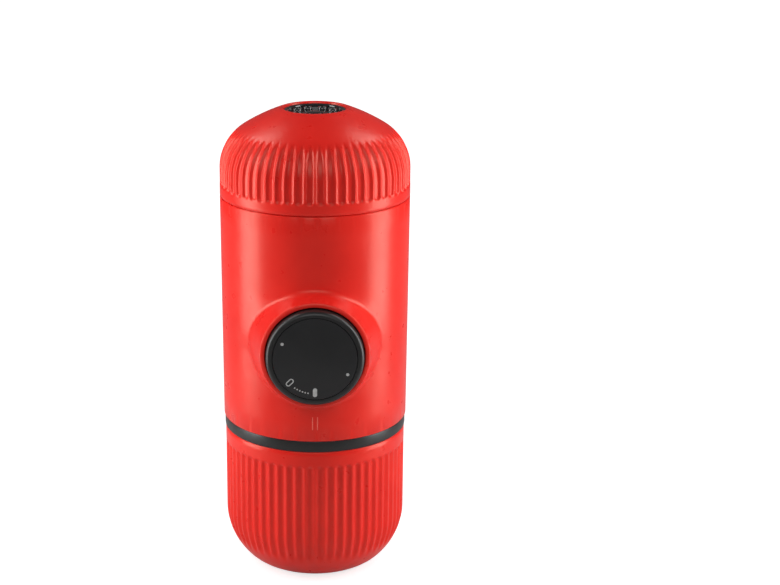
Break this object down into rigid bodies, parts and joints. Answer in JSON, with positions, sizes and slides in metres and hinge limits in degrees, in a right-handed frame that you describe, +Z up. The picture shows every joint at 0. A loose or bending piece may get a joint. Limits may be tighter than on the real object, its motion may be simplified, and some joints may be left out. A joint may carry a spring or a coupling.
{
  "type": "handheld manual espresso maker",
  "caption": "Handheld pump espresso maker: upright capsule with a ribbed screw-on water tank, ribbed cup over the outlet head, and a locking pump knob on the front.",
  "frame": {"origin": "centre of the cup's flat base, on the body's axis", "axes": "+Z up along the body, -Y towards the pump knob"},
  "size_m": [0.062, 0.071, 0.156],
  "materials": {
    "red_shell": "satin red",
    "black_plastic": "fine satin black",
    "gloss_black": "polished black",
    "grey_plastic": "plain grey",
    "steel": "stainless",
    "rubber": "soft"
  },
  "bodies": {
    "body": {"body_housing": "red_shell", "brew_chamber": "black_plastic", "shower_screen": "steel", "brew_gasket": "rubber", "chassis_screws": "steel", "pump_cylinder": "grey_plastic", "cylinder_cap": "grey_plastic", "inlet_valve": "rubber", "outlet_valve": "rubber", "knob_guide": "black_plastic", "return_spring": "steel", "tank_well": "black_plastic", "inlet_strainer": "steel"},
    "tank_seal": {"tank_gasket": "rubber"},
    "tank": {"tank_shell": "red_shell", "support_foot": "gloss_black"},
    "head_seal": {"head_gasket": "rubber"},
    "head": {"outlet_head": "black_plastic", "nozzle": "grey_plastic", "filter_basket": "steel", "scoop": "grey_plastic"},
    "cup": {"cup": "red_shell"},
    "plunger": {"plunger_rod": "steel", "piston": "grey_plastic", "piston_seal": "rubber", "knob_screw": "steel"},
    "knob": {"knob": "black_plastic", "knob_face": "gloss_black"}
  },
  "joints": [
    {"name": "tank_rise", "type": "slide", "parent": "body", "child": "tank_seal", "axis": [0, 0, 1], "range_m": [0, 0.018]},
    {"name": "tank_turn", "type": "hinge", "parent": "tank_seal", "child": "tank", "pos_m": [0, 0, 0.1194], "axis": [0, 0, 1], "range_deg": [0, 810]},
    {"name": "head_drop", "type": "slide", "parent": "body", "child": "head_seal", "axis": [0, 0, -1], "range_m": [0, 0.009]},
    {"name": "head_turn", "type": "hinge", "parent": "head_seal", "child": "head", "pos_m": [0, 0, 0.057], "axis": [0, 0, -1], "range_deg": [0, 540]},
    {"name": "cup_pull", "type": "slide", "parent": "head", "child": "cup", "axis": [0, 0, -1], "range_m": [0, 0.045]},
    {"name": "piston_slide", "type": "slide", "parent": "body", "child": "plunger", "axis": [0, -1, 0], "range_m": [0, 0.014], "deforming": ["return_spring"]},
    {"name": "knob_turn", "type": "hinge", "parent": "plunger", "child": "knob", "pos_m": [0, -0.03, 0.084], "axis": [0, -1, 0], "range_deg": [0, 45]}
  ],
  "couplings": [
    {"joint": "tank_rise", "follows": "tank_turn", "m_per_rad": 0.0012732},
    {"joint": "head_drop", "follows": "head_turn", "m_per_rad": 0.00095493}
  ]
}
